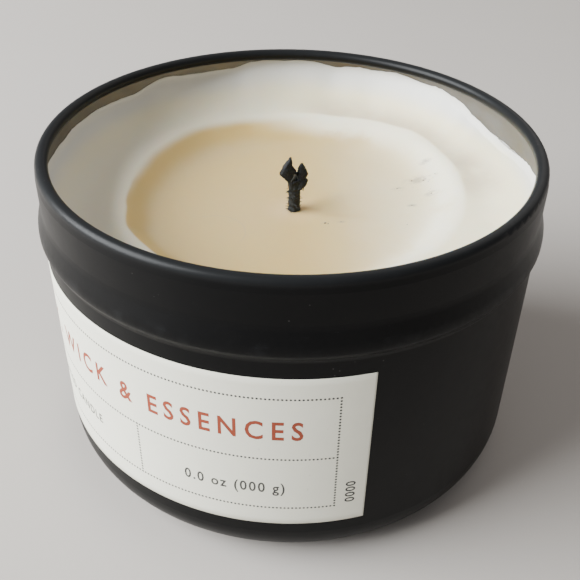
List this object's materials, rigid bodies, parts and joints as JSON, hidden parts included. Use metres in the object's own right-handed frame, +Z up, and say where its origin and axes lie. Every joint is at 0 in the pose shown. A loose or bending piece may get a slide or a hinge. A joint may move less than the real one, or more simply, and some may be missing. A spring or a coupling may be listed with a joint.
{
  "type": "candle tin",
  "caption": "Round black container candle: seamless tin with a rolled rim and beaded neck, sunken cream wax, a charred cotton wick on a metal tab, and a paper wrap label.",
  "frame": {"origin": "centre of the base, on the surface the tin stands on", "axes": "+Z up along the tin's axis, towards the mouth; -Y faces the viewer of the label, whose right-hand edge is at 73 degrees clockwise from +X"},
  "size_m": [0.0676, 0.0676, 0.045],
  "materials": {
    "tin_black": "matte black coating outside, bare tinplate inside",
    "wax": "soft cream wax, satin",
    "char": "burned, dull and crumbly",
    "cotton": "braided cotton soaked in wax",
    "core_thread": "twisted paper thread",
    "tinplate": "thin bright tinplate",
    "adhesive": "soft double-sided foam",
    "label_paper": "uncoated off-white paper",
    "base_paper": "uncoated off-white paper",
    "soot": "burned crumbs"
  },
  "bodies": {
    "root": {"tin_body": "tin_black", "wax_fill": "wax", "wick_char": "char", "wick_braid": "cotton", "wick_core": "core_thread", "wick_sustainer": "tinplate", "adhesive_pad": "adhesive", "side_label": "label_paper", "base_label": "base_paper", "soot_crumbs": "soot"}
  },
  "joints": []
}
